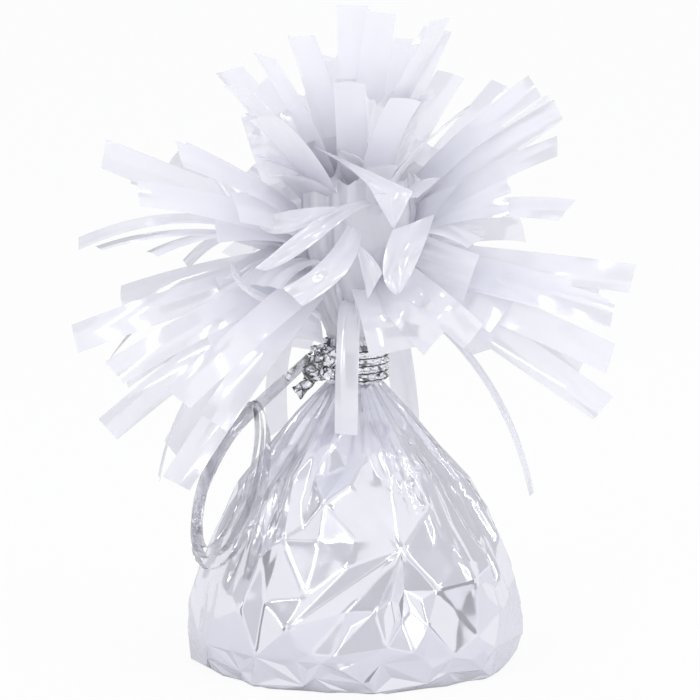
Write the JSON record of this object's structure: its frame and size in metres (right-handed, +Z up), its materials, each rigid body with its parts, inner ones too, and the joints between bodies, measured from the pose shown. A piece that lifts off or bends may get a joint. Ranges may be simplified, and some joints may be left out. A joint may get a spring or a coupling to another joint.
{
  "type": "balloon weight",
  "caption": "Party balloon weight: a cast slug wrapped in glossy white film, tied at the neck with silver ribbon, with the film's edge cut into a spread fringe.",
  "frame": {"origin": "middle of the flat foot, on the surface that the weight stands on", "axes": "+Z up through the neck, -Y towards the viewer of the picture, -X towards the side with the hank"},
  "size_m": [0.1167, 0.1014, 0.138],
  "materials": {
    "film": "glossy pearl-white film",
    "silver": "bright metallised ribbon",
    "filler": "dull cast filler"
  },
  "bodies": {
    "root": {"cast_slug": "filler", "film_wrap": "film", "tuft_head": "film", "fringe_crown": "film", "fringe_crown_back": "film", "fringe_upper_left": "film", "fringe_lower_left": "film", "fringe_upper_right": "film", "fringe_lower_right": "film", "fringe_front": "film", "fringe_back_upper": "film", "fringe_back_lower": "film", "neck_tie": "silver", "tie_knot": "silver", "ribbon_tail": "silver", "ribbon_lead": "silver", "ribbon_hank": "silver"}
  },
  "joints": []
}
